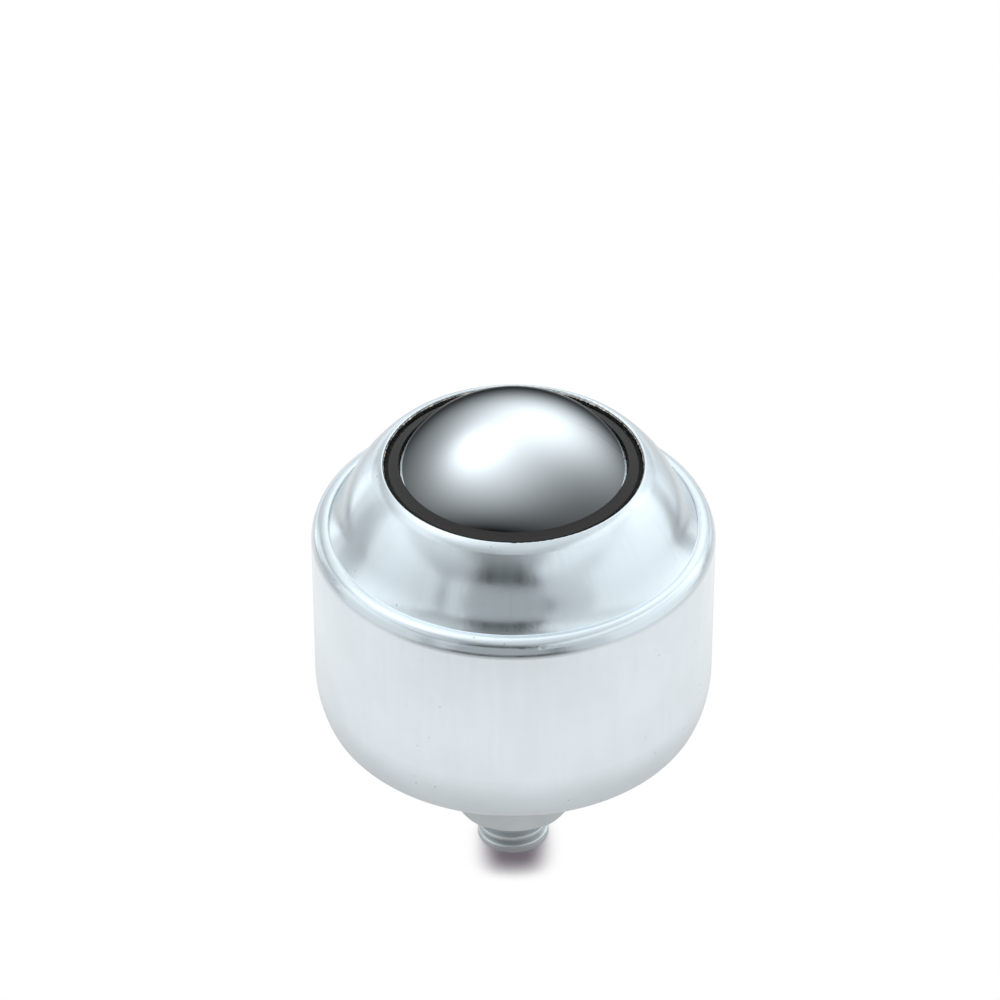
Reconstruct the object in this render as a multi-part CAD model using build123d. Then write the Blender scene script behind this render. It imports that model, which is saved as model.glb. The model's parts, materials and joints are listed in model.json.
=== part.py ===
from build123d import *
from math import acos, asin, atan2, cos, degrees, floor, pi, radians, sin, sqrt, tan
import os

# Ball castor: a steel ball that rolls in every direction on rows of small balls, held in a
# pressed sheet-steel housing with a threaded stud below. Lengths are in millimetres and
# angles in degrees. +Z points up through the load ball, and the origin is the centre of the
# stud's lower end. Every profile is drawn in the XZ plane and turned about the Z axis.

# Driving dimensions of the rolling set
ball_diameter = 30.0
ball_rise_share = 0.238
support_ball_diameter = 4.0
support_ball_play = 0.03
support_ball_spacing = 0.15

# Driving dimensions of the hardened race cup
race_wall = 1.8
race_rim_drop = 2.95
race_seat_radius = 3.0
race_flange_overhang = 0.39
race_flange_thickness = 1.2
race_row_margin = 0.15

# Driving dimensions of the housing cup, drawn from sheet
housing_sheet = 1.2
housing_draft = 1.05
housing_sweep_radius = 13.2
housing_sweep_angle = 22.0
housing_corner_radius = 4.35
lip_bend_radius = 1.9
lip_lean = 19.3
lip_band_length = 0.45
lip_nose_radius = 1.4
lip_height = 2.57

# Driving dimensions of the conical cap, pressed from sheet
cap_sheet = 1.2
cap_cut_edge_radius = 0.2
cap_edge_lean = 65.0
cap_edge_radius = 3.6
cap_shoulder_radius = 15.3
cap_shoulder_lean = 44.0
cap_hollow_radius = 8.0
cap_foot_radius = 1.5
cap_skirt_height = 1.2

# Driving dimensions of the seal and the retaining ring
seal_face_width = 1.7
seal_gap = 0.1
seal_proud = 0.05
seal_sink = 0.65
seal_end_lean = 32.0
ring_gap = 0.3

# Clearances between pieces that sit in one another
seat_clearance = 0.05
hole_clearance = 0.2
thread_clearance = 0.05

# Driving dimensions of the stud bolt and what is screwed on it
thread_diameter = 8.0
thread_pitch = 1.25
stud_length = 16.8
stud_end_chamfer = 0.9
hex_across_flats = 13.0
head_height = 5.3
hex_chamfer_angle = 40.0
hex_face_diameter = 12.2
washer_diameter = 16.0
washer_thickness = 1.6
washer_edge_radius = 0.25
lock_washer_diameter = 14.8
lock_washer_thickness = 2.0
lock_washer_slit = 1.6
lock_washer_slit_angle = 20.0
nut_height = 6.8

# Radii and heights that follow from the driving dimensions
ball_radius = ball_diameter / 2
support_ball_radius = support_ball_diameter / 2
support_path_radius = ball_radius + support_ball_play + support_ball_radius
race_inner_radius = support_path_radius + support_ball_radius + support_ball_play
race_outer_radius = race_inner_radius + race_wall
race_flange_radius = race_outer_radius + race_flange_overhang
body_radius = race_flange_radius + seat_clearance + housing_sheet
skirt_radius = race_flange_radius
rim_height_in_ball = ball_radius - ball_rise_share * ball_diameter
opening_radius = sqrt(ball_radius**2 - rim_height_in_ball**2) + seal_face_width
thread_radius = thread_diameter / 2
thread_mesh_radius = thread_radius - 3 * sqrt(3) / 16 * thread_pitch
bolt_hole_radius = thread_radius + hole_clearance

base_z = stud_length
head_seat_z = base_z + housing_sheet
head_top_z = head_seat_z + head_height
ball_z = head_top_z + sqrt(race_outer_radius**2 - race_seat_radius**2)
rim_z = ball_z + rim_height_in_ball
race_rim_z = ball_z - race_rim_drop
flange_bottom_z = race_rim_z - race_flange_thickness
foot_z = race_rim_z + cap_skirt_height


def at(r, z):
    """The point at radius r and height z in the XZ plane."""
    return Vector(r, 0, z)


def polar(centre, radius, angle):
    """The point on a circle of the XZ plane, its angle counted from the radial direction towards +Z."""
    return centre + radius * at(cos(radians(angle)), sin(radians(angle)))


def arc(centre, radius, start, end):
    """The arc of a circle of the XZ plane from the start angle to the end angle."""
    through = [polar(centre, radius, angle) for angle in (start, (start + end) / 2, end)]
    return ThreePointArc(*through)


def direction(offset):
    """The angle of an offset in the XZ plane, counted from the radial direction towards +Z."""
    return degrees(atan2(offset.Z, offset.X))


def angle_between(side_a, side_b, far_side):
    """The angle between two sides of a triangle, from the lengths of all three sides."""
    return degrees(acos((side_a**2 + side_b**2 - far_side**2) / (2 * side_a * side_b)))


def turned(*path):
    """The solid turned from a closed profile of edges and points, with straight lines between them."""
    edges = []
    first = last = None
    for step in path:
        start = step if isinstance(step, Vector) else step @ 0
        end = step if isinstance(step, Vector) else step @ 1
        if last is None:
            first = start
        elif (start - last).length > 1e-6:
            edges.append(Line(last, start))
        if not isinstance(step, Vector):
            edges.append(step)
        last = end
    if (first - last).length > 1e-6:
        edges.append(Line(last, first))
    return revolve(make_face(edges), Axis.Z)


# The cap's flank: a rounded cut edge, an edge bend, a shoulder arc, a hollow arc and a foot
# bend, each tangent to the next. The waist, where the shoulder turns into the hollow, follows from the
# triangle of the centres of the shoulder, the hollow and the foot bend.
skirt_centre = at(skirt_radius - cap_foot_radius, foot_z)
cut_edge_centre = at(opening_radius + cap_cut_edge_radius, rim_z - cap_cut_edge_radius)
edge_centre = polar(cut_edge_centre, cap_cut_edge_radius - cap_edge_radius, cap_edge_lean)
shoulder_centre = polar(edge_centre, cap_edge_radius - cap_shoulder_radius, cap_shoulder_lean)
shoulder_to_hollow = cap_shoulder_radius + cap_hollow_radius
hollow_to_foot = cap_hollow_radius + cap_foot_radius
shoulder_to_foot = skirt_centre - shoulder_centre
waist_turn = angle_between(shoulder_to_hollow, shoulder_to_foot.length, hollow_to_foot)
waist_lean = direction(shoulder_to_foot) + waist_turn
hollow_centre = polar(shoulder_centre, shoulder_to_hollow, waist_lean)
foot_lean = direction(hollow_centre - skirt_centre)


def cap_edge(inset, r):
    """The cap's edge bend from radius r down to the shoulder, moved inwards by the inset."""
    start = degrees(acos((r - edge_centre.X) / (cap_edge_radius - inset)))
    return arc(edge_centre, cap_edge_radius - inset, start, cap_shoulder_lean)


def cap_shoulder(inset, start):
    """The cap's shoulder arc from a start angle down to the waist, moved inwards by the inset."""
    return arc(shoulder_centre, cap_shoulder_radius - inset, start, waist_lean)


def cap_hollow(inset, start):
    """The cap's hollow arc from a lean of the flank down to the foot bend, moved inwards by the inset."""
    return arc(hollow_centre, cap_hollow_radius + inset, start + 180, foot_lean + 180)


def cap_foot(inset):
    """The cap's foot bend from the hollow down to the upright skirt, moved inwards by the inset."""
    return arc(skirt_centre, cap_foot_radius - inset, foot_lean, 0)


def backwards(edge):
    """The same edge, run the other way."""
    return ThreePointArc(edge @ 1, edge @ 0.5, edge @ 0)


def make_top_cap():
    """The conical cap: a lip over the seal, the flank, and a skirt that stands on the race's flange."""
    return turned(
        arc(cut_edge_centre, cap_cut_edge_radius, 180, cap_edge_lean),
        arc(edge_centre, cap_edge_radius, cap_edge_lean, cap_shoulder_lean),
        cap_shoulder(0, cap_shoulder_lean),
        cap_hollow(0, waist_lean),
        cap_foot(0),
        at(skirt_radius, race_rim_z),
        at(skirt_radius - cap_sheet, race_rim_z),
        backwards(cap_foot(cap_sheet)),
        backwards(cap_hollow(cap_sheet, waist_lean)),
        backwards(cap_shoulder(cap_sheet, cap_shoulder_lean)),
        backwards(cap_edge(cap_sheet, opening_radius)),
    )


# The housing's wall leans in by the draft below the race's flange. The line keeps the
# distance wall_offset from the origin along the wall's outward normal.
draft = radians(housing_draft)
wall_offset = body_radius * cos(draft) - flange_bottom_z * sin(draft)


def wall_radius(z, inset):
    """The radius of the housing's wall at height z, moved inwards by the inset."""
    return (wall_offset - inset + z * sin(draft)) / cos(draft)


def tangent_to_wall(z, radius):
    """The centre, at height z, of a circle that touches the housing's wall from inside."""
    return at(wall_radius(z, radius), z)


def make_housing_cup():
    """The drawn cup: flat base with the bolt's hole, a two-arc corner, the wall and the rolled lip."""
    lean_cos, lean_sin = cos(radians(lip_lean)), sin(radians(lip_lean))
    nose_z = race_rim_z + lip_height - lip_nose_radius
    bend_z = nose_z + (lip_nose_radius - lip_bend_radius) * lean_sin - lip_band_length * lean_cos
    bend_centre = tangent_to_wall(bend_z, lip_bend_radius)
    band_foot_r = bend_centre.X + lip_bend_radius * lean_cos
    nose_centre = at(band_foot_r - lip_band_length * lean_sin - lip_nose_radius * lean_cos, nose_z)

    # The lip's nose ends where it meets the flank's hollow, the gap away from the cap. From
    # there the inner face follows the hollow and the foot bend down to the wall.
    lip_gap = wall_radius(foot_z, housing_sheet) - skirt_radius
    nose_to_hollow = hollow_centre - nose_centre
    nose_turn = angle_between(lip_nose_radius, nose_to_hollow.length, cap_hollow_radius - lip_gap)
    nose_end = direction(nose_to_hollow) + nose_turn
    lip_edge = polar(nose_centre, lip_nose_radius, nose_end)

    corner_z = base_z + housing_corner_radius
    sweep_z = corner_z + (housing_sweep_radius - housing_corner_radius) * sin(radians(housing_sweep_angle))
    sweep_centre = tangent_to_wall(sweep_z, housing_sweep_radius)
    corner_centre = polar(sweep_centre, housing_sweep_radius - housing_corner_radius, -housing_sweep_angle)

    def corner(inset):
        return arc(corner_centre, housing_corner_radius - inset, -90, -housing_sweep_angle)

    def sweep(inset):
        return arc(sweep_centre, housing_sweep_radius - inset, -housing_sweep_angle, -housing_draft)

    return turned(
        at(bolt_hole_radius, base_z),
        corner(0),
        sweep(0),
        arc(bend_centre, lip_bend_radius, -housing_draft, lip_lean),
        arc(nose_centre, lip_nose_radius, lip_lean, nose_end),
        cap_hollow(-lip_gap, direction(hollow_centre - lip_edge)),
        cap_foot(-lip_gap),
        backwards(sweep(housing_sheet)),
        backwards(corner(housing_sheet)),
        at(bolt_hole_radius, head_seat_z),
    )


def make_race_cup():
    """The hardened cup: a hollow half ball with a flange at its rim and a ground seat at its bottom."""
    ball_centre = at(0, ball_z)
    rim_angle = -degrees(asin(race_rim_drop / race_inner_radius))
    flange_angle = -degrees(asin((ball_z - flange_bottom_z) / race_outer_radius))
    seat_angle = -degrees(acos(race_seat_radius / race_outer_radius))
    return turned(
        at(0, head_top_z),
        arc(ball_centre, race_outer_radius, seat_angle, flange_angle),
        at(race_flange_radius, flange_bottom_z),
        at(race_flange_radius, race_rim_z),
        arc(ball_centre, race_inner_radius, rim_angle, -90),
    )


def make_load_ball():
    """The polished ball that carries the load."""
    return Pos(0, 0, ball_z) * Sphere(ball_radius)


# Rows of support balls lie on circles around the vertical axis. The highest row stays
# below the race's rim, and the rows between are spread evenly.
highest_row_height = race_rim_drop + support_ball_radius + race_row_margin
highest_row_angle = degrees(acos(highest_row_height / support_path_radius))
support_ball_pitch = support_ball_diameter + support_ball_spacing
closest_row_step = 2 * degrees(asin(support_ball_pitch / 2 / support_path_radius))
row_steps = floor(highest_row_angle / closest_row_step)
row_step = highest_row_angle / row_steps


def make_support_row(row):
    """One row of loose support balls, as many as fit on its circle. Row 0 is the ball at the bottom."""
    angle = row * row_step
    circle_radius = support_path_radius * sin(radians(angle))
    height = ball_z - support_path_radius * cos(radians(angle))
    count = 1
    if row:
        count = floor(pi / asin(support_ball_pitch / 2 / circle_radius))
    balls = []
    for index in range(count):
        turn = Rot(0, 0, 360 * (index + row / 2) / count)
        balls.append((turn * Pos(circle_radius, 0, height) * Sphere(support_ball_radius)).solid())
    return Compound(balls)


# The seal fills the cap from its lip part of the way down the shoulder arc. The retaining
# ring fills it from there down to the race's rim.
filling_inset = cap_sheet + seat_clearance
seam = polar(shoulder_centre, cap_shoulder_radius - filling_inset, seal_end_lean)


def make_seal_ring():
    """The wiper seal: it follows the ball inside and the cap outside, and shows in the opening."""
    wiping_radius = ball_radius + seal_gap
    tip_angle = degrees(asin((rim_z + seal_proud - ball_z) / wiping_radius))
    bottom_angle = degrees(asin((seam.Z - ball_z) / wiping_radius))
    neck_radius = opening_radius - seat_clearance
    return turned(
        arc(at(0, ball_z), wiping_radius, bottom_angle, tip_angle),
        at(neck_radius, rim_z - seal_sink),
        cap_edge(filling_inset, neck_radius),
        arc(shoulder_centre, cap_shoulder_radius - filling_inset, cap_shoulder_lean, seal_end_lean),
    )


def make_retaining_ring():
    """The ring that keeps the support balls in the race and backs the seal."""
    ring_inner_radius = ball_radius + ring_gap
    ring_top_z = seam.Z - seat_clearance
    ring_lean = degrees(asin((ring_top_z - shoulder_centre.Z) / (cap_shoulder_radius - filling_inset)))
    return turned(
        at(ring_inner_radius, race_rim_z),
        at(ring_inner_radius, ring_top_z),
        cap_shoulder(filling_inset, ring_lean),
        cap_hollow(filling_inset, waist_lean),
        cap_foot(filling_inset),
        at(skirt_radius - filling_inset, race_rim_z),
    )


def hexagon(height, lower_chamfer, upper_chamfer):
    """A hexagon bar from z = 0 with flats facing +Y and -Y, its corners turned off at the named ends."""
    corner_radius = hex_across_flats / sqrt(3)
    face_radius = hex_face_diameter / 2
    drop = (corner_radius - face_radius) * tan(radians(hex_chamfer_angle))
    bar = extrude(RegularPolygon(corner_radius, 6), height)
    low = drop if lower_chamfer else 0
    high = drop if upper_chamfer else 0
    envelope = turned(
        at(0, 0),
        at(face_radius if lower_chamfer else corner_radius, 0),
        at(corner_radius, low),
        at(corner_radius, height - high),
        at(face_radius if upper_chamfer else corner_radius, height),
        at(0, height),
    )
    return bar & envelope


# What is screwed on the stud, stacked downwards from the housing's base. The thread itself
# is left plain: where bolt and nut mesh, both walls lie at the thread's pitch radius.
lower_washer_z = base_z - washer_thickness
lock_washer_z = lower_washer_z - washer_thickness
nut_z = lock_washer_z - lock_washer_thickness
nut_end_z = nut_z - nut_height


def make_stud_bolt():
    """The hexagon bolt: its head lies inside the housing under the race, and its shank is the stud."""
    shank = turned(
        at(0, 0),
        at(thread_radius - stud_end_chamfer, 0),
        at(thread_radius, stud_end_chamfer),
        at(thread_radius, nut_end_z),
        at(thread_mesh_radius, nut_end_z),
        at(thread_mesh_radius, nut_z),
        at(thread_radius, nut_z),
        at(thread_radius, head_seat_z),
        at(0, head_seat_z),
    )
    return shank + Pos(0, 0, head_seat_z) * hexagon(head_height, False, True)


def make_flat_washer(top_z):
    """A plain washer with rounded outer edges, its upper face at top_z."""
    bottom_z = top_z - washer_thickness
    inner_radius = thread_radius + hole_clearance
    edge_r = washer_diameter / 2 - washer_edge_radius
    return turned(
        at(inner_radius, bottom_z),
        arc(at(edge_r, bottom_z + washer_edge_radius), washer_edge_radius, -90, 0),
        arc(at(edge_r, top_z - washer_edge_radius), washer_edge_radius, 0, 90),
        at(inner_radius, top_z),
    )


def make_lock_washer(top_z):
    """A split spring washer pressed flat, its upper face at top_z and its slanting slit towards +X."""
    bottom_z = top_z - lock_washer_thickness
    inner_radius = thread_radius + hole_clearance
    outer_radius = lock_washer_diameter / 2
    ring = turned(
        at(inner_radius, bottom_z),
        at(outer_radius, bottom_z),
        at(outer_radius, top_z),
        at(inner_radius, top_z),
    )
    slit_middle = Pos((inner_radius + outer_radius) / 2, 0, (bottom_z + top_z) / 2)
    slit = Box(outer_radius, lock_washer_slit, 3 * lock_washer_thickness)
    return ring - slit_middle * Rot(lock_washer_slit_angle, 0, 0) * slit


def make_hex_nut(top_z):
    """The nut, with both ends chamfered and its bore countersunk, its upper face at top_z."""
    bore_radius = thread_mesh_radius + thread_clearance
    mouth_radius = thread_radius + thread_clearance
    countersink = mouth_radius - bore_radius
    bore = turned(
        at(0, 0),
        at(mouth_radius, 0),
        at(bore_radius, countersink),
        at(bore_radius, nut_height - countersink),
        at(mouth_radius, nut_height),
        at(0, nut_height),
    )
    return Pos(0, 0, top_z - nut_height) * (hexagon(nut_height, True, True) - bore)


nodes = {
    "housing_cup": make_housing_cup(),
    "top_cap": make_top_cap(),
    "race_cup": make_race_cup(),
    "load_ball": make_load_ball(),
    "retaining_ring": make_retaining_ring(),
    "seal_ring": make_seal_ring(),
    "stud_bolt": make_stud_bolt(),
    "upper_flat_washer": make_flat_washer(base_z),
    "lower_flat_washer": make_flat_washer(lower_washer_z),
    "lock_washer": make_lock_washer(lock_washer_z),
    "hex_nut": make_hex_nut(nut_z),
}
for row in range(row_steps + 1):
    nodes[f"support_balls_row_{row + 1}"] = make_support_row(row)

os.makedirs("parts", exist_ok=True)
for name, shape in nodes.items():
    export_step(shape, f"parts/{name}.step")

print(f"body diameter {2 * body_radius:.2f}, overall height {ball_z + ball_radius:.2f}")
print(f"rim at {rim_z:.2f}, race rim at {race_rim_z:.2f}, waist lean {waist_lean:.1f} degrees")
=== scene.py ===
# %% [markdown]
# # A ball castor
#
# A ball castor is a steel ball that can roll in any direction. It stands on rows of small
# balls in a hardened cup, inside a housing pressed from zinc-plated sheet, and a threaded
# stud below holds it to a leg or a frame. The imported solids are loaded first. They give
# every place and size, and they stay where they are.

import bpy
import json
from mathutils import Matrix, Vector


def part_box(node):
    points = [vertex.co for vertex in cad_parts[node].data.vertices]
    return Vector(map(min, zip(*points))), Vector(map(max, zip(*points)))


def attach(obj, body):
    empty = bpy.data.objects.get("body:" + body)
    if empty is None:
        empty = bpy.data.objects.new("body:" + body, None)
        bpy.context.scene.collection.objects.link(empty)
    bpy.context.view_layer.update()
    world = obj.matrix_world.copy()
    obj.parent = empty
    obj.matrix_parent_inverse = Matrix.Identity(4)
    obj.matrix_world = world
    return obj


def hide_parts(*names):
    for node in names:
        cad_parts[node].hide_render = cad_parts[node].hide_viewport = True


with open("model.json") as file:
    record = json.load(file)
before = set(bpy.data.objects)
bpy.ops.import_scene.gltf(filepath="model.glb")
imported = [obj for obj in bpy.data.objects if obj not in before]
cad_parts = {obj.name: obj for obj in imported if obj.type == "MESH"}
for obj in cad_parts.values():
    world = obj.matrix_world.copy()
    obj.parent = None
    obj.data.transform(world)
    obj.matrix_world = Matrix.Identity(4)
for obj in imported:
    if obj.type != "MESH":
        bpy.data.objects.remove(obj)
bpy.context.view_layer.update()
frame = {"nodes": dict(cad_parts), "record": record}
nodes = frame["nodes"]

# %% [markdown]
# ## The sizes that the pieces share
#
# Heights and radii are in millimetres, as a maker writes them. Most can be read from the
# solids: the ball's box gives its centre and radius, and the housing's box gives the base.
# The rim is the highest line of the cap, and the nut's faces bound the part of the stud that
# shows its thread.

# %% Sizes and heights
import json
import math

import bpy
import numpy as np
from mathutils import Vector

MM = 0.001

ball_low, ball_high = (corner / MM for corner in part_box("load_ball"))
ball_radius = (ball_high.z - ball_low.z) / 2
ball_z = ball_low.z + ball_radius
base_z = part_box("housing_cup")[0].z / MM
rim_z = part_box("top_cap")[1].z / MM
nut_z, nut_top_z = (corner.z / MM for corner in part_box("hex_nut"))
print(f"ball radius {ball_radius:.2f}, centre at {ball_z:.2f}; rim at {rim_z:.2f}")
print(f"base at {base_z:.2f}, nut from {nut_z:.2f} to {nut_top_z:.2f}")

# %% [markdown]
# ## The camera
#
# A product photo like this is taken from far away with a long lens, so that the round
# outlines stay close to true ellipses. The opening's ellipse gives the viewing angle: its
# short side is the sine of the angle times its long side. The rim's centre should land a
# little right of the picture's middle and above it. The lens could be shifted for that, but
# here the camera itself is moved sideways and down in its own plane and keeps its direction,
# so every length in the sum can be checked against the picture.

# %% Camera
VIEW_ELEVATION = math.radians(36.7)
VIEW_DISTANCE = 1600.0
# The pixels to the millimetre are counted at the housing's widest line, so far below the rim.
PIXELS_PER_MM, COUNTED_BELOW_RIM = 8.98, 10.4
PICTURE_WIDTH = 1000.0
RIM_CENTRE_PIXEL = (513.5, 463.6)
SENSOR_WIDTH = 36.0
CLIP_NEAR, CLIP_FAR = 0.05, 20

focal_pixels = PIXELS_PER_MM * (VIEW_DISTANCE + COUNTED_BELOW_RIM * math.sin(VIEW_ELEVATION))
towards_camera = np.array([0.0, -math.cos(VIEW_ELEVATION), math.sin(VIEW_ELEVATION)])
picture_up = np.array([0.0, math.sin(VIEW_ELEVATION), math.cos(VIEW_ELEVATION)])
picture_right = np.array([1.0, 0.0, 0.0])
mm_per_pixel = VIEW_DISTANCE / focal_pixels
shift_right = (PICTURE_WIDTH / 2 - RIM_CENTRE_PIXEL[0]) * mm_per_pixel
shift_up = (RIM_CENTRE_PIXEL[1] - PICTURE_WIDTH / 2) * mm_per_pixel

camera = bpy.data.objects.new("camera", bpy.data.cameras.new("camera"))
bpy.context.scene.collection.objects.link(camera)
camera.location = MM * (
    np.array([0.0, 0.0, rim_z])
    + VIEW_DISTANCE * towards_camera
    + shift_right * picture_right
    + shift_up * picture_up
)
camera.rotation_euler = (math.pi / 2 - VIEW_ELEVATION, 0, 0)
camera.data.sensor_width = SENSOR_WIDTH
camera.data.lens = focal_pixels * SENSOR_WIDTH / PICTURE_WIDTH
camera.data.clip_start, camera.data.clip_end = CLIP_NEAR, CLIP_FAR
bpy.context.scene.camera = camera
bpy.context.scene.view_settings.view_transform = "Standard"
print(f"lens {camera.data.lens:.0f} mm at {VIEW_DISTANCE * MM:.1f} m")

# %% [markdown]
# ## Writing materials
#
# A node material is a small program. The helpers below write one line for each node: the
# inputs are numbers, colours, or another node's output, and the call gives back the new
# node's output. `in_mm` turns the Object coordinates, which are metres, into millimetres,
# so that the size of every grain, scratch and streak is written as it would be measured.

# %% Helpers for nodes
def feed(tree, node, inputs):
    """Sets each input, by name or number, to a value, or links it to another node's output."""
    for socket, value in dict(inputs).items():
        if isinstance(value, bpy.types.NodeSocket):
            tree.links.new(value, node.inputs[socket])
        else:
            node.inputs[socket].default_value = value


def add(tree, kind, inputs=(), output=0, **settings):
    """Adds a node with those properties and inputs, and gives one of its outputs."""
    node = tree.nodes.new("ShaderNode" + kind)
    for name, value in settings.items():
        setattr(node, name, value)
    feed(tree, node, inputs)
    return node.outputs[output]


def math_node(tree, operation, *values):
    """One step of arithmetic on numbers."""
    return add(tree, "Math", enumerate(values), operation=operation)


def vector_node(tree, operation, *values, output=0):
    """One step of arithmetic on places or directions. Some steps give a number, output "Value"."""
    return add(tree, "VectorMath", enumerate(values), output, operation=operation)


def ramp(tree, value, low, high, low_value=0.0, high_value=1.0):
    """Smoothly carries the value from low_value at low to high_value at high."""
    ends = {"From Min": low, "From Max": high, "To Min": low_value, "To Max": high_value}
    return add(tree, "MapRange", {"Value": value, **ends}, interpolation_type="SMOOTHSTEP")


def blend_colours(tree, share, first, second):
    """The first colour at share 0 and the second at share 1."""
    node = tree.nodes.new("ShaderNodeMix")
    node.data_type = "RGBA"
    # The node's inputs 6 and 7 are its two colours, and output 2 is the blended one.
    feed(tree, node, {0: share, 6: first, 7: second})
    return node.outputs[2]


def noise(tree, vector, scale, detail, roughness):
    """A cloud pattern from 0 to 1, with so many waves to the millimetre."""
    inputs = {"Vector": vector, "Scale": scale, "Detail": detail, "Roughness": roughness}
    return add(tree, "TexNoise", inputs)


print("node helpers ready")

# %% [markdown]
# Two more groups of helpers take a place apart and put it together again, and begin and end
# a material, so that each finish below is only its own few lines.

# %% Helpers for places, colours and materials
def in_mm(tree):
    """The place on the piece, in millimetres from the castor's foot."""
    place = add(tree, "TexCoord", output="Object")
    return add(tree, "VectorMath", {0: place, 3: 1 / MM}, operation="SCALE")


def split(tree, place):
    """The x, y and z of a place."""
    node = tree.nodes.new("ShaderNodeSeparateXYZ")
    tree.links.new(place, node.inputs[0])
    return tuple(node.outputs)


def join(tree, x, y, z):
    """A place or a direction from its x, y and z."""
    return add(tree, "CombineXYZ", {"X": x, "Y": y, "Z": z})


def grey(value):
    """A neutral colour of that brightness."""
    return (value, value, value, 1.0)


def new_material(name):
    """A material without nodes, and its node tree."""
    made = bpy.data.materials.new(name)
    made.use_nodes = True
    made.node_tree.nodes.clear()
    return made, made.node_tree


def finish_material(tree, shader):
    """Sends the shader to the material's surface."""
    out = tree.nodes.new("ShaderNodeOutputMaterial")
    tree.links.new(shader, out.inputs["Surface"])


print("material helpers ready")

# %% [markdown]
# ## The studio
#
# The castor stands in a white tent: a white floor, bright cloth above and behind, and a
# darker side where the camera looks in. Polished steel shows that tent as a picture, so the
# tent is written as a brightness for each direction: a plain level, and round soft glows
# that are added or taken away. A glow is strongest along its own direction and fades with
# the cosine of the angle from it. The picture's background, which the camera sees directly,
# is plain white.

# %% Light from the tent
TENT_LEVEL = 0.063
TENT_COLOUR = (0.94, 0.98, 1.0, 1.0)
# Each glow: azimuth and elevation in degrees (azimuth 0 is the camera's side, 90 is the
# right), how strong it is, and how narrow.
TENT_GLOWS = [
    (-54, 55, 3.29, 2.2),
    (-122, 59, 0.84, 15.5),
    (158, 38, 1.155, 4.8),
    (-47, 47, -2.8, 2.1),
]


def direction(azimuth, elevation):
    """The unit vector (sin a cos e, -cos a cos e, sin e) to azimuth a and elevation e."""
    a, e = math.radians(azimuth), math.radians(elevation)
    return (math.sin(a) * math.cos(e), -math.cos(a) * math.cos(e), math.sin(e))


world = bpy.data.worlds.new("white_tent")
bpy.context.scene.world = world
world.use_nodes = True
sky = world.node_tree
sky.nodes.clear()
ray_direction = add(sky, "TexCoord", output="Generated")

level = TENT_LEVEL
for azimuth, elevation, strength, narrowness in TENT_GLOWS:
    aim = direction(azimuth, elevation)
    cosine = vector_node(sky, "DOT_PRODUCT", ray_direction, aim, output="Value")
    falling = math_node(sky, "MULTIPLY", math_node(sky, "SUBTRACT", cosine, 1.0), narrowness)
    glow = math_node(sky, "MULTIPLY", math_node(sky, "EXPONENT", falling), strength)
    level = math_node(sky, "ADD", level, glow)
level = math_node(sky, "MAXIMUM", level, 0.0)
tent = add(sky, "Background", {"Color": TENT_COLOUR, "Strength": level})
white = add(sky, "Background", {"Color": grey(1.0), "Strength": 1.0})
seen_by_camera = add(sky, "LightPath", output="Is Camera Ray")
mixed = add(sky, "MixShader", {0: seen_by_camera, 1: tent, 2: white})
sky.links.new(mixed, sky.nodes.new("ShaderNodeOutputWorld").inputs["Surface"])
print("tent with", len(TENT_GLOWS), "glows")

# %% [markdown]
# ## White cards for the sheet metal
#
# Seen in the pressed sheet, the tent is bright nearly all round: about 0.9 on the left, 1.05
# on the right and 0.8 behind. Only towards the camera is there a dark gap, some 60 degrees
# wide, and the two soft dark patches in front are that gap. The cards are large area lamps
# that stand for this bright cloth. Long ones at the horizon and higher ones on both sides,
# two behind and a dim one low in front leave the gap open between them. One world for both
# metals would be simpler, but the ball shows a darker tent than the sheet does, so light
# linking keeps the cards to the zinc.
#
# A lamp's power is spread over its face, and all the directions in front of it add up to pi
# times its brightness. So the power is the brightness wanted, times pi, times the area.

# %% Cards that light the zinc alone
CARD_DISTANCE = 0.6
ZINC_SLOTS = ("zinc_plate", "fastener_zinc")
# Each card: azimuth, elevation, width and height in metres, and brightness.
CARDS = {
    "card_left_low": (-95, 5, 1.30, 0.50, 0.43),
    "card_left": (-68, 14, 0.88, 0.80, 0.41),
    "card_right": (74, 18, 1.42, 0.90, 0.66),
    "card_right_low": (95, 5, 1.20, 0.50, 0.28),
    "card_right_high": (50, 55, 0.70, 0.50, 0.18),
    "card_front": (-10, 8, 0.72, 0.36, 0.47),
    "card_behind": (-155, 5, 0.80, 0.40, 0.30),
    "card_behind_low": (180, -8, 1.30, 0.26, 0.50),
}

zinc_pieces = bpy.data.collections.new("zinc_pieces")
for solid in frame["record"]["subparts"]:
    if solid["material_slot"] in ZINC_SLOTS:
        zinc_pieces.objects.link(nodes[solid["node"]])
for card_name, (azimuth, elevation, width, height, brightness) in CARDS.items():
    lamp = bpy.data.lights.new(card_name, "AREA")
    lamp.shape, lamp.size, lamp.size_y = "RECTANGLE", width, height
    lamp.energy = brightness * math.pi * width * height
    lamp.color = TENT_COLOUR[:3]
    card = bpy.data.objects.new(card_name, lamp)
    bpy.context.scene.collection.objects.link(card)
    outwards = Vector(direction(azimuth, elevation))
    card.location = CARD_DISTANCE * outwards + Vector((0, 0, rim_z * MM))
    card.rotation_euler = outwards.to_track_quat("Z", "Y").to_euler()
    card.visible_camera = False
    card.light_linking.receiver_collection = zinc_pieces
print("cards:", ", ".join(CARDS))

# %% [markdown]
# ## The floor
#
# The floor is one flat sheet. What it looks like depends on what looks at it, the camera or
# the metal, and Light Path tells its material which of them does. A lamp that casts a real
# shadow would light the castor too and change what it mirrors, so the floor's own material
# makes the shadow instead.

# %% Floor sheet
FLOOR_SIZE = 3.0

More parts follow.
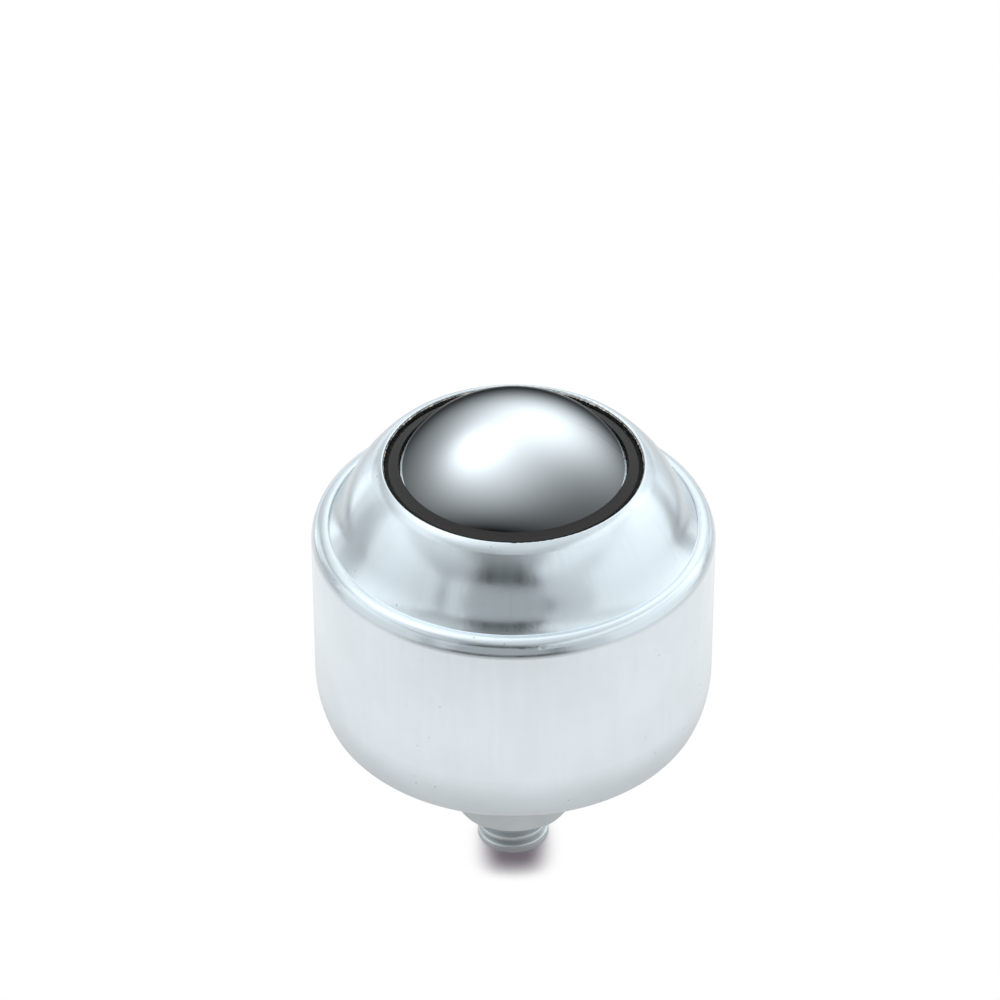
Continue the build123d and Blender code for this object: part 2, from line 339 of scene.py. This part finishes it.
half = FLOOR_SIZE / 2
floor_mesh = bpy.data.meshes.new("floor")
floor_mesh.from_pydata(
    [(-half, -half, 0), (half, -half, 0), (half, half, 0), (-half, half, 0)], [], [(0, 1, 2, 3)]
)
floor = bpy.data.objects.new("floor", floor_mesh)
bpy.context.scene.collection.objects.link(floor)
floor_paint, paint = new_material("white_floor")
floor_mesh.materials.append(floor_paint)
floor_place = in_mm(paint)
to_camera = add(paint, "LightPath", output="Is Camera Ray")
to_metal = add(paint, "LightPath", output="Is Glossy Ray")
to_lamp = add(paint, "LightPath", output="Is Shadow Ray")
print("floor", FLOOR_SIZE, "m square")

# %% [markdown]
# In the metal the floor is shaded by the castor itself near the foot, brightest some 60 mm
# away, and darker again further out, most of all towards the camera. From 130 mm on it ends
# for the metal, which sees the tent and the cards past its edge. That gives the darker corner
# above the base and the dark edge of the ball.

# %% The floor in the metal
# Each shade: the distances in mm between which it changes, and for the near one the levels.
NEAR_SHADE = (16, 60, 0.64, 1.0)
FAR_SHADE = (55, 125)
FLOOR_END = (130, 200)
# The share of light that the far floor loses, and how much more of it towards the front,
# which is told by the cosine of the angle from the azimuth where the loss is greatest.
FAR_LOSS_SIDE, FAR_LOSS_FRONT = 0.20, 0.32
FRONT_AZIMUTH, FRONT_COSINES = -12, (0.55, 0.9)

distance = vector_node(paint, "LENGTH", floor_place, output="Value")
heading = vector_node(paint, "NORMALIZE", floor_place)
front = direction(FRONT_AZIMUTH, 0)
frontness = vector_node(paint, "DOT_PRODUCT", heading, front, output="Value")
loss = ramp(paint, frontness, *FRONT_COSINES, FAR_LOSS_SIDE, FAR_LOSS_SIDE + FAR_LOSS_FRONT)
lost = math_node(paint, "MULTIPLY", ramp(paint, distance, *FAR_SHADE), loss)
left_over = math_node(paint, "SUBTRACT", 1.0, lost)
mirrored = math_node(paint, "MULTIPLY", ramp(paint, distance, *NEAR_SHADE), left_over)
off_camera = math_node(paint, "MAXIMUM", to_metal, to_lamp)
ended = math_node(paint, "MULTIPLY", ramp(paint, distance, *FLOOR_END), off_camera)
print("the metal sees the floor as far as", FLOOR_END[1], "mm")

# %% [markdown]
# The camera sees a soft dark patch where the stud's foot keeps light from the floor. An
# ambient occlusion node measures it: from each point of the floor it looks over a few
# millimetres and gives the share that is open. The light comes over the top from behind, so
# the look leans backwards and the patch falls towards the viewer. The patch is narrow, so it
# fades with the fourth power of the distance from the castor's middle plane. The lean is
# joined by a node, because the occlusion node heeds a direction only where it is linked.

# %% Contact shadow
SHADOW_REACH, SHADOW_LOOKS = 6.0 * MM, 24
LIGHT_LEAN = (0.0, 0.85, 0.53)
OPEN_IN_SHADOW, OPEN_IN_LIGHT = 0.42, 0.93
SHADOW_SHIFT, SHADOW_HALF_WIDTH, SHADOW_POWER = 0.15, 3.9, 4.0
SHADOW_COLOUR = (0.16, 0.135, 0.165, 1.0)
SHADOW_IN_METAL = 0.6

look = {"Distance": SHADOW_REACH, "Normal": join(paint, *LIGHT_LEAN)}
open_share = add(paint, "AmbientOcclusion", look, output="AO", samples=SHADOW_LOOKS)
shade = ramp(paint, open_share, OPEN_IN_SHADOW, OPEN_IN_LIGHT, 1.0, 0.0)
beside = math_node(paint, "SUBTRACT", split(paint, floor_place)[0], SHADOW_SHIFT)
beside = math_node(paint, "DIVIDE", beside, SHADOW_HALF_WIDTH)
beside = math_node(paint, "POWER", beside, SHADOW_POWER)
narrow = math_node(paint, "EXPONENT", math_node(paint, "MULTIPLY", beside, -1.0))
depth_of_shade = ramp(paint, to_camera, 0, 1, SHADOW_IN_METAL, 1.0)
shadow = math_node(paint, "MULTIPLY", math_node(paint, "MULTIPLY", shade, narrow), depth_of_shade)
floor_colour = blend_colours(paint, shadow, grey(1.0), SHADOW_COLOUR)
print("shadow within", SHADOW_REACH / MM, "mm of the foot")

# %% [markdown]
# Camera and metal see the floor as a glowing sheet of just that colour and brightness, and
# soft light is given back by a plain pale one. Past the floor's end it is clear.

# %% Floor paint
BOUNCE = 0.6

shown = add(
    paint,
    "Emission",
    {"Color": floor_colour, "Strength": math_node(paint, "MAXIMUM", mirrored, to_camera)},
)
lit = add(paint, "BsdfDiffuse", {"Color": grey(BOUNCE)})
seen_directly = math_node(paint, "MAXIMUM", to_camera, to_metal)
sheet = add(paint, "MixShader", {0: seen_directly, 1: lit, 2: shown})
clear = add(paint, "BsdfTransparent")
finish_material(paint, add(paint, "MixShader", {0: ended, 1: sheet, 2: clear}))
print("floor paint with", len(paint.nodes), "nodes")

# %% [markdown]
# ## Metals
#
# Bare metal has no colour of its own below the surface: everything comes from how it
# reflects, so a metal is a reflection colour, a roughness, and the small bumps that break
# the reflection up.
#
# Zinc on drawn sheet shows faint lines up the walls where the tool dragged, a fine grain,
# soft clouds and a few dark specks. Each is a noise with its own size. The lines are noise
# rolled onto a circle and squeezed in height, so that they run long and thin up the wall.

# %% Patterns in the zinc
# Each pattern: waves to the millimetre, detail, and how rough the detail is.
STREAKS = (1.1, 4.0, 0.6)
GRAIN = (2.6, 3.0, 0.6)
CLOUDS = (0.13, 3.0, 0.5)
SPECKS = (1.7, 1.0, 0.4)
STREAK_SQUEEZE = 0.06
MIDDLE = (0.3, 0.7)  # the range that holds most of a noise's values


def draw_lines(tree, place, radius):
    """Noise at (r x/d, r y/d, s z), where d is the distance from the axis, r the radius of the
    circle it is rolled onto, and s how much it is squeezed in height."""
    x, y, z = split(tree, place)
    unit = vector_node(tree, "NORMALIZE", join(tree, x, y, 0.0))
    ring = add(tree, "VectorMath", {0: unit, 3: radius}, operation="SCALE")
    lift = join(tree, 0.0, 0.0, math_node(tree, "MULTIPLY", z, STREAK_SQUEEZE))
    return noise(tree, vector_node(tree, "ADD", ring, lift), *STREAKS)


print("four patterns for the zinc")

# %% [markdown]
# The streaks and specks are a little darker than the clean plate, streaks and clouds change
# its roughness slightly, and grain and streaks stand out by some thousandths of a
# millimetre. One small nick sits on the lip, 8 degrees to the right of the middle.

# %% Zinc-plated sheet
STREAK_TONE, STREAK_SHARE, STREAK_SHOWS = grey(0.45), 0.12, (0.62, 0.8)
SPECK_TONE, SPECK_SHARE, SPECK_SHOWS = grey(0.25), 0.4, (0.77, 0.81)
STREAK_ROUGHNESS, CLOUD_ROUGHNESS = (-0.02, 0.03), (-0.02, 0.02)
STREAK_HEIGHT = 0.0008
NICK_PLACE, NICK_RADIUS = (2.94, -22.0, 42.8), 0.22
NICK_DEPTH, NICK_ROUGHNESS, NICK_FLOOR = 0.12, 0.15, 0.4


def zinc_plate(name, reflection, roughness, grain_height, radius, nicked=False):
    """Bright zinc between two reflection colours, with draw lines for walls of that radius."""
    made, tree = new_material(name)
    place = in_mm(tree)
    streaks = draw_lines(tree, place, radius)
    grain = noise(tree, place, *GRAIN)
    clouds = noise(tree, place, *CLOUDS)
    specks = ramp(tree, noise(tree, place, *SPECKS), *SPECK_SHOWS)
    tone = blend_colours(tree, ramp(tree, clouds, *MIDDLE), reflection[0], reflection[1])
    streaky = ramp(tree, streaks, *STREAK_SHOWS, 0.0, STREAK_SHARE)
    tone = blend_colours(tree, streaky, tone, STREAK_TONE)
    tone = blend_colours(tree, math_node(tree, "MULTIPLY", specks, SPECK_SHARE), tone, SPECK_TONE)
    rough = math_node(tree, "ADD", ramp(tree, streaks, *MIDDLE, *STREAK_ROUGHNESS), roughness)
    rough = math_node(tree, "ADD", rough, ramp(tree, clouds, *MIDDLE, *CLOUD_ROUGHNESS))
    raised = math_node(tree, "MULTIPLY", streaks, STREAK_HEIGHT)
    relief = math_node(tree, "ADD", math_node(tree, "MULTIPLY", grain, grain_height), raised)
    if nicked:
        away = vector_node(tree, "DISTANCE", place, NICK_PLACE, output="Value")
        inside = ramp(tree, away, NICK_RADIUS * NICK_FLOOR, NICK_RADIUS, 1.0, 0.0)
        sunk = math_node(tree, "MULTIPLY", inside, NICK_DEPTH)
        relief = math_node(tree, "SUBTRACT", relief, sunk)
        rough = math_node(tree, "ADD", rough, math_node(tree, "MULTIPLY", inside, NICK_ROUGHNESS))
    bump = add(tree, "Bump", {"Height": math_node(tree, "MULTIPLY", relief, MM), "Distance": 1.0})
    look = {"Base Color": tone, "Metallic": 1.0, "Roughness": rough, "Normal": bump}
    finish_material(tree, add(tree, "BsdfPrincipled", look))
    return made


SHEET_TONES = ((0.72, 0.785, 0.82, 1), (0.765, 0.83, 0.875, 1))
FASTENER_TONES = ((0.60, 0.65, 0.67, 1), (0.67, 0.71, 0.73, 1))
sheet_zinc = zinc_plate("zinc_plate", SHEET_TONES, 0.22, 0.0055, 22.5, nicked=True)
fastener_zinc = zinc_plate("fastener_zinc", FASTENER_TONES, 0.33, 0.003, 5.0)
print("zinc finishes:", sheet_zinc.name, "and", fastener_zinc.name)

# %% [markdown]
# The load ball is polished, the race and the small balls are ground, and the cut edge of the
# opening is bare. At a very flat angle real polished steel would mirror nearly everything.
# The edge value lowers that, which keeps the ball's outline dark against the felt.

# %% Polished and ground steel
MARK_HEIGHT, MARK_STRENGTH = 0.0004 * MM, 0.6


def steel(name, reflection, edge, roughness, haze, marks_per_mm):
    """Hardened steel: a clear reflection, with polishing marks that add up to the haze to its
    roughness. The edge is the share of the reflection left at a very flat angle."""
    made, tree = new_material(name)
    marks = noise(tree, in_mm(tree), marks_per_mm, 3.0, 0.6)
    rough = math_node(tree, "ADD", ramp(tree, marks, 0.35, 0.7, 0.0, haze), roughness)
    bump = add(
        tree, "Bump", {"Height": marks, "Distance": MARK_HEIGHT, "Strength": MARK_STRENGTH}
    )
    look = {"Base Color": reflection, "Metallic": 1.0, "Roughness": rough, "Normal": bump}
    look["Specular Tint"] = grey(edge)
    finish_material(tree, add(tree, "BsdfPrincipled", look))
    return made


ball_steel = steel("polished_ball", (0.86, 0.91, 0.94, 1), 0.12, 0.05, 0.03, 0.8)
race_steel = steel("bearing_steel", (0.57, 0.57, 0.56, 1), 0.9, 0.18, 0.08, 2.0)
bare_edge = steel("bare_edge", (0.76, 0.70, 0.60, 1), 0.9, 0.30, 0.10, 2.0)
print("steel finishes:", ball_steel.name, race_steel.name, bare_edge.name)

# %% [markdown]
# ## Felt and plastic
#
# The seal is a ring of dense black felt. Its inner part is pressed smooth where it wipes the
# ball, and looks dark grey. Outside that the felt is open: of coarse grain, with a few light
# fibre ends, and nearly black, partly because open felt is darker and partly as painted shade
# of the groove under the cap's edge. Two materials could share the ring, but the line between
# them would be as sharp as the mesh. One material tells the two apart by the distance from the
# axis, and its fibres wander over the line.

# %% Black felt
BAND_EDGE, BAND_EDGE_SOFT, FIBRE_WANDER = 13.95, 0.06, 0.05
FIBRES = (6.0, 4.0, 0.7)
FIBRE_ENDS, ENDS_SHOW, ENDS_SHARE = (4.3, 2.0, 0.5), (0.66, 0.72), 0.5
PRESSED_TONES = ((0.056, 0.053, 0.052, 1), (0.080, 0.076, 0.073, 1))
# The open felt's tones are nearly black for its fibres and also as painted shade of the groove.
OPEN_TONES_WITH_SHADE = ((0.008, 0.008, 0.008, 1), (0.04, 0.038, 0.035, 1))
END_TONE = (0.4, 0.42, 0.43, 1)
PRESSED_HEIGHT, OPEN_HEIGHT = 0.004 * MM, 0.05 * MM
FELT_SURFACE = {"Roughness": 0.7, "Specular IOR Level": 0.2, "Sheen Weight": 0.05}


def felt(name):
    """Black felt: pressed smooth inside the band's edge, and open fibres with painted shade
    outside it.
    """
    made, tree = new_material(name)
    place = in_mm(tree)
    x, y, _ = split(tree, place)
    radius = vector_node(tree, "LENGTH", join(tree, x, y, 0.0), output="Value")
    fibres = noise(tree, place, *FIBRES)
    wandering = ramp(tree, fibres, *MIDDLE, -FIBRE_WANDER, FIBRE_WANDER)
    radius = math_node(tree, "ADD", radius, wandering)
    # The share of open felt, which also carries the painted shade of the groove under the cap's
    # edge.
    open_felt_and_shade = ramp(tree, radius, BAND_EDGE - BAND_EDGE_SOFT, BAND_EDGE + BAND_EDGE_SOFT)
    ends = ramp(tree, noise(tree, place, *FIBRE_ENDS), *ENDS_SHOW)
    pressed = blend_colours(tree, fibres, *PRESSED_TONES)
    # The open felt's colour, darkened also as painted shade of the groove.
    open_colour_with_shade = blend_colours(tree, ramp(tree, fibres, *MIDDLE), *OPEN_TONES_WITH_SHADE)
    open_colour_with_shade = blend_colours(tree, math_node(tree, "MULTIPLY", ends, ENDS_SHARE), open_colour_with_shade, END_TONE)
    height = ramp(tree, open_felt_and_shade, 0.0, 1.0, PRESSED_HEIGHT, OPEN_HEIGHT)
    height = math_node(tree, "MULTIPLY", fibres, height)
    look = {
        "Base Color": blend_colours(tree, open_felt_and_shade, pressed, open_colour_with_shade),
        "Normal": add(tree, "Bump", {"Height": height, "Distance": 1.0}),
        **FELT_SURFACE,
    }
    finish_material(tree, add(tree, "BsdfPrincipled", look))
    return made


black_felt = felt("black_felt")
print("felt pressed smooth inside a radius of", BAND_EDGE, "mm")

# %% [markdown]
# The ring that keeps the small balls in is moulded plastic, nearly hidden under the seal: a
# dark grey with the fine texture of its mould.

# %% Moulded plastic
PLASTIC_TONES = ((0.085, 0.085, 0.09, 1), (0.115, 0.115, 0.125, 1))
TEXTURE, TEXTURE_HEIGHT = (5.0, 2.0, 0.5), 0.01 * MM


def moulded(name):
    """Plain moulded plastic with the fine texture of its mould."""
    made, tree = new_material(name)
    texture = noise(tree, in_mm(tree), *TEXTURE)
    bump = add(tree, "Bump", {"Height": texture, "Distance": TEXTURE_HEIGHT, "Strength": 1.0})
    tone = blend_colours(tree, texture, *PLASTIC_TONES)
    look = {"Base Color": tone, "Roughness": 0.5, "Normal": bump}
    finish_material(tree, add(tree, "BsdfPrincipled", look))
    return made


black_plastic = moulded("moulded_plastic")
print("plastic:", black_plastic.name)

# %% [markdown]
# ## Finishes on the solids
#
# The castor's record names a material slot for each solid. A table from slot to finish is
# all that is needed to dress them, and no solid can be forgotten.

# %% Give each solid its finish
FINISH = {
    "zinc_plate": sheet_zinc,
    "fastener_zinc": fastener_zinc,
    "bearing_steel": race_steel,
    "polished_ball": ball_steel,
    "black_felt": black_felt,
    "moulded_plastic": black_plastic,
}
for solid in frame["record"]["subparts"]:
    solid_mesh = nodes[solid["node"]].data
    solid_mesh.materials.clear()
    solid_mesh.materials.append(FINISH[solid["material_slot"]])

# %% [markdown]
# ## Pieces made as grids
#
# The seal, the burr, the seam and the thread are each a grid of points round the axis. One
# index runs along the section and the other round the axis, so a piece is two arrays: the
# radius and the height at each place. Everything fine is added to those arrays as numbers.
# Spin and Screw would carry a section round as well, but then every column is the same.

# %% Round grids
def grid_faces(rows, columns, closed):
    """Four-sided faces between each row and the next, with the last column joined to the first.
    Where the section is closed, the last row is joined to the first row too."""
    here = np.arange(columns)
    following = (here + 1) % columns
    low = columns * np.arange(rows if closed else rows - 1)[:, None]
    high = (low + columns) % (rows * columns)
    corners = (low + here, low + following, high + following, high + here)
    return np.stack(corners, axis=-1).reshape(-1, 4).tolist()


def fan_faces(first, second, pole):
    """Triangles (first, second, pole) from neighbours on a rim to one point. The order of the
    neighbours decides to which side the faces look."""
    return np.stack((first, second, np.full(len(first), pole)), axis=-1).tolist()


def round_grid(name, radius, height, material, sharp_angle, closed):
    """
    A surface from arrays of radius R and height H in mm, rows along the section and columns
    round the axis, as (R cos a, R sin a, H). A closed section joins its last row to its first.
    An open one is closed by a point on the axis at either end.
    """
    rows, columns = radius.shape
    angle = 2 * np.pi * np.arange(columns) / columns
    points = np.stack((radius * np.cos(angle), radius * np.sin(angle), height), axis=-1)
    points = points.reshape(-1, 3)
    faces = grid_faces(rows, columns, closed)
    if not closed:
        poles = [[0, 0, height[0].mean()], [0, 0, height[-1].mean()]]
        points = np.concatenate((points, poles))
        here = np.arange(columns)
        following = (here + 1) % columns
        last_row = (rows - 1) * columns
        faces += fan_faces(following, here, rows * columns)
        faces += fan_faces(last_row + here, last_row + following, rows * columns + 1)
    mesh = bpy.data.meshes.new(name)
    mesh.from_pydata((points * MM).tolist(), [], faces)
    mesh.polygons.foreach_set("use_smooth", np.ones(len(mesh.polygons), dtype=bool))
    mesh.set_sharp_from_angle(angle=math.radians(sharp_angle))
    mesh.materials.append(material)
    piece = bpy.data.objects.new(name, mesh)
    bpy.context.scene.collection.objects.link(piece)
    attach(piece, "housing")
    print(name, len(mesh.polygons), "faces")
    return piece


print("grid helpers ready")

# %% [markdown]
# Felt, burr and seam are uneven. Random numbers smoothed along a row would leave a step where
# the row's end meets its start. Fading out the short waves in the Fourier spectrum smooths
# them too, and what is left joins up round the axis by itself.

# %% Soft noise
def soft_noise(seed, rows, columns, row_waves, column_waves):
    """Seeded noise of mean 0 and spread 1 that joins up round the axis: white noise whose waves
    shorter than the given numbers of cells are faded out in its Fourier spectrum."""
    spectrum = np.fft.rfft2(np.random.default_rng(seed).standard_normal((rows, columns)))
    down = np.fft.fftfreq(rows)[:, None] * row_waves
    across = np.fft.rfftfreq(columns)[None, :] * column_waves
    smooth = np.fft.irfft2(spectrum * np.exp(-(down**2) - across**2), s=(rows, columns))
    return (smooth - smooth.mean()) / smooth.std()


print("soft noise ready")

# %% [markdown]
# ## The wiper seal
#
# On the real castor this is a felt ring cut from sheet, pushed up under the cap's edge by the
# ring below it. Its face is pressed smooth where the ball rubs, and it frays in the narrow
# groove between that band and the cap. The section goes round the ring from its outer bottom
# corner, up the two slanting sides to the neck, across the groove and the band to the tip,
# and down along the ball with a hair's gap. A ring with a displacement texture could fray as
# well, but a grid whose rows follow the section keeps the neck and the tip sharp.

# %% Section of the seal
# The outer corners, each a radius and a height, up to the neck inside the cap's edge.
SEAL_OUTSIDE = np.array([(16.738, 47.84), (14.929, 50.154), (14.426, 50.55)])
SEAL_NECK = SEAL_OUTSIDE[-1, 0]
SEAL_TIP_Z, SEAL_EDGE_Z = rim_z + 0.055, rim_z - 0.65
GROOVE_DEPTH, GROOVE_ROWS, BAND_ROWS = 0.22, 10, 16
# Down along the ball: the heights, and the gap above and below the height where it widens.
SEAL_INSIDE_Z = np.array([SEAL_TIP_Z - 0.12, 51.3, 50.6, 49.5, 47.84])
TIP_GAP, INSIDE_GAP, GAP_WIDENS_Z = 0.03, 0.10, 51


def on_ball(height, gap):
    """The radius sqrt((b + g)^2 - (z - c)^2) at height z of a sphere about the ball's centre c,
    larger than the ball's radius b by the gap g."""
    return np.sqrt((ball_radius + gap) ** 2 - (height - ball_z) ** 2)


tip_r = on_ball(SEAL_TIP_Z, TIP_GAP)


def face_z(radius):
    """The height of the seal's face, a straight slope from its edge at the neck to its tip."""
    return SEAL_EDGE_Z + (SEAL_NECK - radius) * (SEAL_TIP_Z - SEAL_EDGE_Z) / (SEAL_NECK - tip_r)


groove = np.linspace(SEAL_NECK, BAND_EDGE + 0.03, GROOVE_ROWS)
band = np.linspace(BAND_EDGE - 0.04, tip_r, BAND_ROWS)
inside_gap = np.where(SEAL_INSIDE_Z < GAP_WIDENS_Z, INSIDE_GAP, TIP_GAP)
section_r = np.concatenate(
    (SEAL_OUTSIDE[:, 0], groove, band, on_ball(SEAL_INSIDE_Z, inside_gap))
)
section_z = np.concatenate(
    (SEAL_OUTSIDE[:, 1], face_z(groove) - GROOVE_DEPTH, face_z(band), SEAL_INSIDE_Z)
)
print("seal section of", len(section_r), "points, tip radius", round(float(tip_r), 2), "mm")

# %% [markdown]
# The groove's felt is raised and lowered by a fine and a coarser noise, and the band by long
# low waves. Each row of the section has a share of either, none at the outside and along the
# ball, and little where groove and band meet.

# %% Wiper seal
SEAL_COLUMNS = 1440
FRAY_HEIGHT, WAVE_HEIGHT = 0.045, 0.006

outside_rows, inside_rows = len(SEAL_OUTSIDE), len(SEAL_INSIDE_Z)
fray_share = np.concatenate(
    (
        np.zeros(outside_rows),
        [0.3],
        np.ones(GROOVE_ROWS - 1),
        [0.35],
        np.zeros(BAND_ROWS - 1 + inside_rows),
    )
)
wave_share = np.concatenate(
    (
        np.zeros(outside_rows + GROOVE_ROWS),
        [0.2],
        np.ones(BAND_ROWS - 2),
        np.zeros(1 + inside_rows),
    )
)
seal_shape = (len(section_r), SEAL_COLUMNS)
fray = 0.7 * soft_noise(11, *seal_shape, 2.0, 3.5) + 0.5 * soft_noise(12, *seal_shape, 4.0, 14.0)
waves = soft_noise(13, *seal_shape, 8.0, 60.0)
seal_z = (
    section_z[:, None]
    + FRAY_HEIGHT * fray_share[:, None] * fray
    + WAVE_HEIGHT * wave_share[:, None] * waves
)
seal_r = np.repeat(section_r[:, None], SEAL_COLUMNS, axis=1)
seal = round_grid("wiper_seal", seal_r, seal_z, black_felt, 60, closed=True)
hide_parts("seal_ring")

# %% [markdown]
# ## The burr round the opening
#
# The opening is punched out of the plated sheet. The punch leaves bare metal on the cut edge
# and pulls a thin, uneven burr inwards. It shows as a fine light line round the seal, a
# little ragged on the far side. A bump in the plating could not stand out past the edge and
# catch the light, so the burr is a thin ring, whose inner edge wanders by some hundredths of
# a millimetre.

# %% Burr
BURR_R, BURR_Z = 14.49, rim_z - 0.2
# The section's five corners: how far each stands in from the cut edge, and its height.
BURR_INWARDS = np.array([0.0, 0.0, 0.04, 0.08, 0.03])[:, None]
BURR_HEIGHTS = np.array([-0.32, 0.0, -0.02, -0.12, -0.24])[:, None]
BURR_SHAPE = (5, 1440)
WANDER_INWARDS, WANDER_HEIGHT = 0.2, 0.008

fine_wander = soft_noise(21, *BURR_SHAPE, 40.0, 6.0)[:1]
wander = fine_wander + 0.8 * soft_noise(22, *BURR_SHAPE, 40.0, 30.0)[:1]
burr_r = BURR_R - BURR_INWARDS * (1 + WANDER_INWARDS * wander)
burr_z = BURR_Z + BURR_HEIGHTS + WANDER_HEIGHT * wander
burr = round_grid("punch_burr", burr_r, burr_z, bare_edge, 50, closed=True)
zinc_pieces.objects.link(burr)

# %% [markdown]
# ## The seam under the lip
#
# The housing's lip is rolled down onto the foot of the cap after both are plated, and the
# two walls touch in a fine seam. A thin ring closes that seam just below the lip's inner edge,
# so that no light falls through between lip and cap. Its section has four corners, each a
# hundredth or two inside the sheet beside it. Moving the cap would close the seam as well,
# but the solids stay where they are.

# %% Lip seam
SEAM_R = np.array([20.73, 20.87, 20.69, 20.53])[:, None]
SEAM_Z = rim_z + np.array([-8.493, -8.463, -8.288, -8.273])[:, None]
SEAM_SHAPE = (4, 720)
SEAM_WANDER = 0.004

seam_r = np.broadcast_to(SEAM_R, SEAM_SHAPE)
seam_z = SEAM_Z + SEAM_WANDER * soft_noise(31, *SEAM_SHAPE, 40.0, 20.0)
seam = round_grid("lip_seam", seam_r, seam_z, sheet_zinc, 50, closed=True)
zinc_pieces.objects.link(seam)

# %% [markdown]
# ## The threaded stud
#
# The stud is an M8 bolt with rolled threads: a helix of 1.25 mm pitch with flanks at 60
# degrees to each other, crests and roots rounded by the rolling, and a plain rounded start at
# the end. A Screw modifier could wind a section up the axis, but its ends would have to be
# joined to the shank and the rounded start by hand. As a radius for each height and angle,
# the thread runs into both by taking the smaller of two numbers. The distance from the
# nearest crest along the axis gives the depth below it. Inside the nut the thread is kept to
# the wall that nut and bolt share. Above it the shank is plain up to the hexagonal head,
# which lies inside the housing.

# %% Thread
STUD_RADIUS, PITCH, ROOT_DEPTH = 4.0, 1.25, 0.767
CREST_HALF_WIDTH, ROOT_HALF_WIDTH = PITCH / 9, 0.02
STUD_COLUMNS, ROWS_PER_TURN = 240, 20
THREAD_PHASE = 0.13
# The thread deepens over this height above the foot, and runs out below this height.
THREAD_START, START_LENGTH, THREAD_END = 0.75, 0.5, 16.0
END_RADIUS, END_ROUNDING = 3.84, 0.32
SHARED_WALL, NUT_MARGIN = 3.59, 0.05

turn = np.arange(STUD_COLUMNS) / STUD_COLUMNS
rows_z = np.arange(0, THREAD_END + 1e-6, PITCH / ROWS_PER_TURN)[:, None]
along = rows_z / PITCH - turn + THREAD_PHASE
from_crest = PITCH * np.abs(along - np.round(along))
flank_width = PITCH / 2 - CREST_HALF_WIDTH - ROOT_HALF_WIDTH
flank = np.clip((from_crest - CREST_HALF_WIDTH) / flank_width, 0, 1)
starting = np.clip((rows_z - THREAD_START) / START_LENGTH, 0, 1)
ending = np.clip(THREAD_END - rows_z, 0, 1)
depth = ROOT_DEPTH * flank**2 * (3 - 2 * flank) * starting * ending
thread_r = np.minimum(STUD_RADIUS - depth, END_RADIUS + np.sqrt(rows_z) * END_ROUNDING)
in_nut = (rows_z > nut_z + NUT_MARGIN) & (rows_z < nut_top_z - NUT_MARGIN)
thread_r = np.where(in_nut, np.minimum(thread_r, SHARED_WALL), thread_r)
print(f"thread of {THREAD_END / PITCH:.1f} turns")
print(f"radius of the stud {thread_r.min():.2f} to {thread_r.max():.2f}")

# %% [markdown]
# A hexagon is a radius too: half the width across its flats, divided by the cosine of the
# angle from the middle of the nearest flat. The head's top corners are cut back to a circle.

# %% Threaded stud
HEAD_Z, HEAD_TOP_Z, HEAD_FLATS = 18.0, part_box("stud_bolt")[1].z / MM, 13.0
HEAD_TOP_RADIUS, HEAD_BEVEL = 6.2, 0.5

from_flat = (turn * 2 * np.pi) % (math.pi / 3) - math.pi / 6
hexagon = HEAD_FLATS / 2 / np.cos(from_flat)
shank = np.full(STUD_COLUMNS, STUD_RADIUS)
head_r = np.stack((shank, hexagon, hexagon, np.minimum(hexagon, HEAD_TOP_RADIUS)))
head_z = np.array([HEAD_Z, HEAD_Z, HEAD_TOP_Z - HEAD_BEVEL, HEAD_TOP_Z])[:, None]
stud_r = np.concatenate((thread_r, head_r))
stud_z = np.broadcast_to(np.concatenate((rows_z, head_z)), stud_r.shape)
stud = round_grid("threaded_stud", stud_r, stud_z, fastener_zinc, 40, closed=False)
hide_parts("stud_bolt")
zinc_pieces.objects.link(stud)
